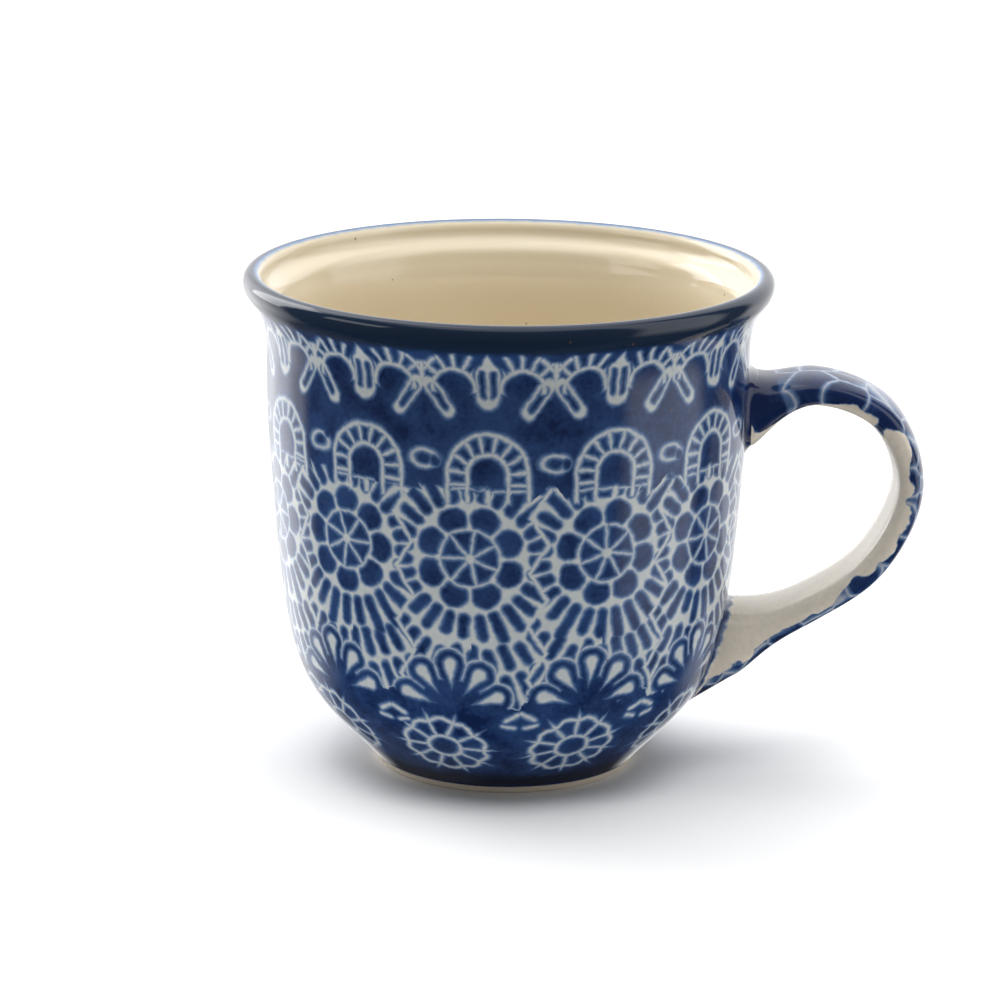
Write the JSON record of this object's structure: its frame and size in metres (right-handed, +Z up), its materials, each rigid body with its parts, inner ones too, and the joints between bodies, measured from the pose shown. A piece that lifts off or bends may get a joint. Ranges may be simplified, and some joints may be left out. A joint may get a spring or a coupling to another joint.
{
  "type": "mug",
  "caption": "Stoneware mug with a flared lip, a turned foot ring and a strap handle, decorated in cobalt blue under clear glaze.",
  "frame": {"origin": "middle of the box's underside, at table height; the cup's axis is at x = -12.4 mm", "axes": "+Z up along the cup's axis, +X the way the handle points, front face towards -Y"},
  "size_m": [0.1098, 0.085, 0.0812],
  "materials": {
    "decorated_glaze": "cobalt underglaze pattern on cream clay under clear gloss glaze",
    "handle_glaze": "clear gloss glaze on cream clay with cobalt blocks on the outer face",
    "joint_glaze": "clear gloss glaze with cobalt pooled in the crease"
  },
  "bodies": {
    "root": {"cup_body": "decorated_glaze", "handle": "handle_glaze", "upper_slip_joint": "joint_glaze", "lower_slip_joint": "joint_glaze"}
  },
  "joints": []
}
